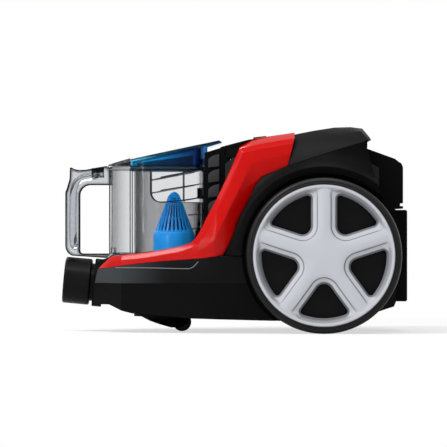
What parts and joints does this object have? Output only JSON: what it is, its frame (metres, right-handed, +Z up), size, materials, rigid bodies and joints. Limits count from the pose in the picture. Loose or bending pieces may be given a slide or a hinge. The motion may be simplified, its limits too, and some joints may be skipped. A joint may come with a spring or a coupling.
{
  "type": "canister vacuum cleaner",
  "caption": "Bagless canister vacuum cleaner with large rear wheels, front caster, lift-off clear dust container, hose inlet collar and two push buttons.",
  "frame": {"origin": "centre of the footprint of the whole object, on the floor", "axes": "+X to the rear (the hose collar is at -X), +Y to the right-hand wheel seen from behind, +Z up from the floor"},
  "size_m": [0.4099, 0.281, 0.2421],
  "materials": {
    "chassis_plastic": "moulded black plastic, fine grain",
    "casing_plastic": "moulded dark grey plastic",
    "rail_plastic": "satin grey plastic",
    "red_shell": "glossy red plastic",
    "arch_plastic": "satin dark grey plastic",
    "hood_plastic": "satin grey plastic",
    "deck_plastic": "fine-grained black plastic",
    "louvre_plastic": "moulded grey plastic",
    "housing_plastic": "fine-grained black plastic",
    "steel": "turned steel",
    "spring_steel": "bright spring steel",
    "tyre_rubber": "soft grey-black rubber",
    "wheel_black": "moulded black plastic",
    "cap_silver": "satin silver paint on plastic",
    "seal_rubber": "soft black rubber",
    "clear_smoke": "clear smoke-grey polycarbonate",
    "clear_handle": "clear grey polycarbonate",
    "clear_wall": "clear polycarbonate",
    "cone_blue": "clear cyan-blue plastic",
    "button_plastic": "satin black plastic",
    "lid_blue": "clear blue plastic, darker to the rear",
    "lid_clear": "clear smoke-grey plastic",
    "filter_foam": "dark open-cell foam",
    "filter_paper": "white pleated filter fleece",
    "motor_plastic": "natural moulded plastic",
    "motor_metal": "pressed metal",
    "impeller_plastic": "pressed sheet",
    "rotor_copper": "steel stack and copper windings",
    "board_green": "glass-fibre circuit board",
    "lever_plastic": "natural moulded plastic"
  },
  "bodies": {
    "body": {"lower_chassis": "chassis_plastic", "bay_floor": "chassis_plastic", "inner_casing": "casing_plastic", "left_rail": "rail_plastic", "right_rail": "rail_plastic", "left_side_panel": "red_shell", "right_side_panel": "red_shell", "left_arch_panel": "arch_plastic", "right_arch_panel": "arch_plastic", "rear_hood": "hood_plastic", "top_deck": "deck_plastic", "louvre_wall": "louvre_plastic", "rear_housing": "housing_plastic", "rear_foot": "housing_plastic", "cord_gland": "housing_plastic", "panel_screws": "steel", "left_axle": "steel", "right_axle": "steel", "hose_collar": "arch_plastic", "collar_seal": "seal_rubber", "inlet_duct": "casing_plastic", "duct_seal": "seal_rubber", "motor_housing": "motor_plastic", "motor_can": "motor_metal", "front_motor_mount": "seal_rubber", "rear_motor_mount": "seal_rubber", "fan_cover": "motor_metal", "reel_bracket": "casing_plastic", "reel_axle": "steel", "circuit_board": "board_green", "button_springs": "spring_steel"},
    "left_wheel": {"left_tyre": "tyre_rubber", "left_wheel_disc": "wheel_black", "left_spoke_cap": "cap_silver"},
    "right_wheel": {"right_tyre": "tyre_rubber", "right_wheel_disc": "wheel_black", "right_spoke_cap": "cap_silver"},
    "caster": {"caster_turntable": "wheel_black", "caster_axle": "steel"},
    "caster_roller": {"caster_wheel": "tyre_rubber"},
    "container": {"dust_container": "clear_smoke", "container_handle": "clear_handle", "cyclone_wall": "clear_wall", "cyclone_cone": "cone_blue", "rear_key": "button_plastic", "release_spring": "spring_steel"},
    "release": {"release_button": "button_plastic"},
    "lid": {"container_lid": "lid_blue", "lid_front": "lid_clear", "lid_seal": "seal_rubber", "pre_motor_filter": "filter_foam"},
    "rotor": {"fan_impeller": "impeller_plastic", "motor_rotor": "rotor_copper"},
    "reel": {"reel_drum": "wheel_black", "reel_mainspring": "spring_steel"},
    "brake": {"brake_lever": "lever_plastic"},
    "power": {"power_button": "button_plastic"},
    "rewind": {"rewind_button": "button_plastic"},
    "exhaust": {"exhaust_grille": "housing_plastic", "exhaust_filter": "filter_paper"}
  },
  "joints": [
    {"name": "left_wheel_spin", "type": "hinge", "parent": "body", "child": "left_wheel", "pos_m": [0.105, -0.124, 0.091], "axis": [0, 1, 0], "continuous": true},
    {"name": "right_wheel_spin", "type": "hinge", "parent": "body", "child": "right_wheel", "pos_m": [0.105, 0.124, 0.091], "axis": [0, 1, 0], "continuous": true},
    {"name": "caster_swivel", "type": "hinge", "parent": "body", "child": "caster", "pos_m": [-0.082, 0, 0.03], "axis": [0, 0, 1], "continuous": true},
    {"name": "caster_wheel_spin", "type": "hinge", "parent": "caster", "child": "caster_roller", "pos_m": [-0.0615, 0, 0.011], "axis": [0, 1, 0], "continuous": true},
    {"name": "container_lift", "type": "slide", "parent": "body", "child": "container", "axis": [0, 0, 1], "range_m": [0, 0.16]},
    {"name": "release_press", "type": "slide", "parent": "container", "child": "release", "axis": [0, 0, -1], "range_m": [0, 0.0025], "stiffness_N_per_m": 300, "springref_m": -0.002, "deforming": ["release_spring"]},
    {"name": "lid_lift", "type": "slide", "parent": "container", "child": "lid", "axis": [0, 0, 1], "range_m": [0, 0.06]},
    {"name": "rotor_spin", "type": "hinge", "parent": "body", "child": "rotor", "pos_m": [0.09, -0.038, 0.105], "axis": [1, 0, 0], "continuous": true},
    {"name": "reel_spin", "type": "hinge", "parent": "body", "child": "reel", "pos_m": [0.1, 0.054, 0.105], "axis": [0, 1, 0], "continuous": true},
    {"name": "power_press", "type": "slide", "parent": "body", "child": "power", "axis": [0, 0, -1], "range_m": [0, 0.003], "stiffness_N_per_m": 300, "springref_m": -0.002},
    {"name": "rewind_press", "type": "slide", "parent": "body", "child": "rewind", "axis": [0, 0, -1], "range_m": [0, 0.003], "stiffness_N_per_m": 300, "springref_m": -0.002, "deforming": ["button_springs"]},
    {"name": "brake_tilt", "type": "hinge", "parent": "body", "child": "brake", "pos_m": [0.045, 0.025, 0.178], "axis": [0, 1, 0], "range_deg": [-15, 0]},
    {"name": "exhaust_pull", "type": "slide", "parent": "body", "child": "exhaust", "axis": [1, 0, 0], "range_m": [0, 0.04]}
  ],
  "couplings": [
    {"joint": "brake_tilt", "follows": "rewind_press", "rad_per_m": -85}
  ]
}
